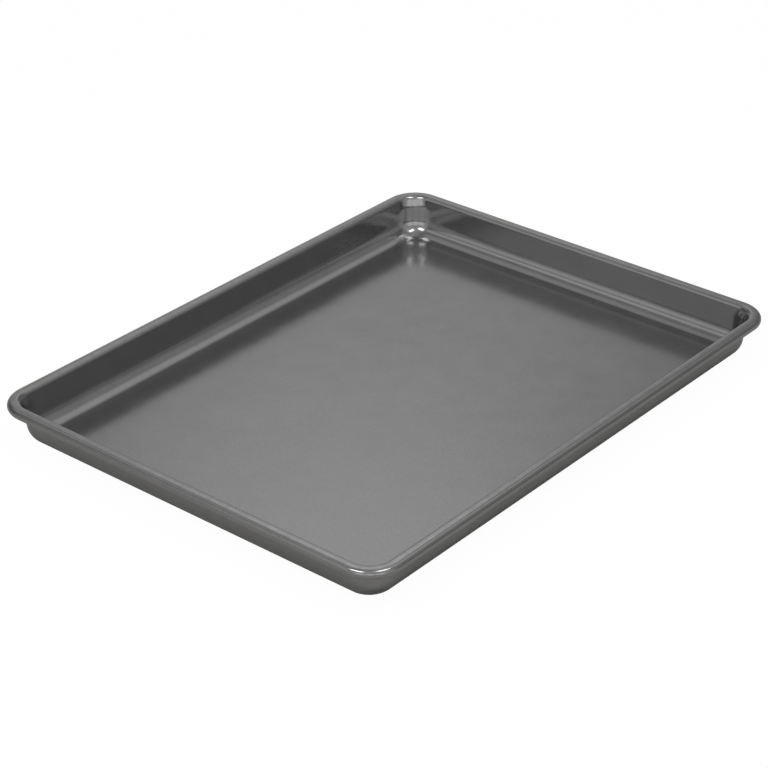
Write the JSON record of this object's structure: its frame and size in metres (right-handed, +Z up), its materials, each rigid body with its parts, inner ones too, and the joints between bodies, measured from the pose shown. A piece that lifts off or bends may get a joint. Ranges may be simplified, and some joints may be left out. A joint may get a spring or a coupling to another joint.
{
  "type": "cookie sheet",
  "caption": "Rectangular rimmed baking sheet with rounded corners, drafted walls and a rim rolled over a stiffening wire.",
  "frame": {"origin": "centre of the underside of the floor, on the plane that the tray rests on", "axes": "+X along the long side, +Y along the short side, +Z up, out of the open top"},
  "size_m": [0.4318, 0.3294, 0.0304],
  "materials": {
    "nonstick_coating": "semi-gloss dark grey non-stick coating on carbon steel, faintly mottled",
    "bare_steel_wire": "drawn steel wire, uncoated, hidden inside the rolled rim"
  },
  "bodies": {
    "root": {"pan_body": "nonstick_coating", "rim_wire": "bare_steel_wire"}
  },
  "joints": []
}
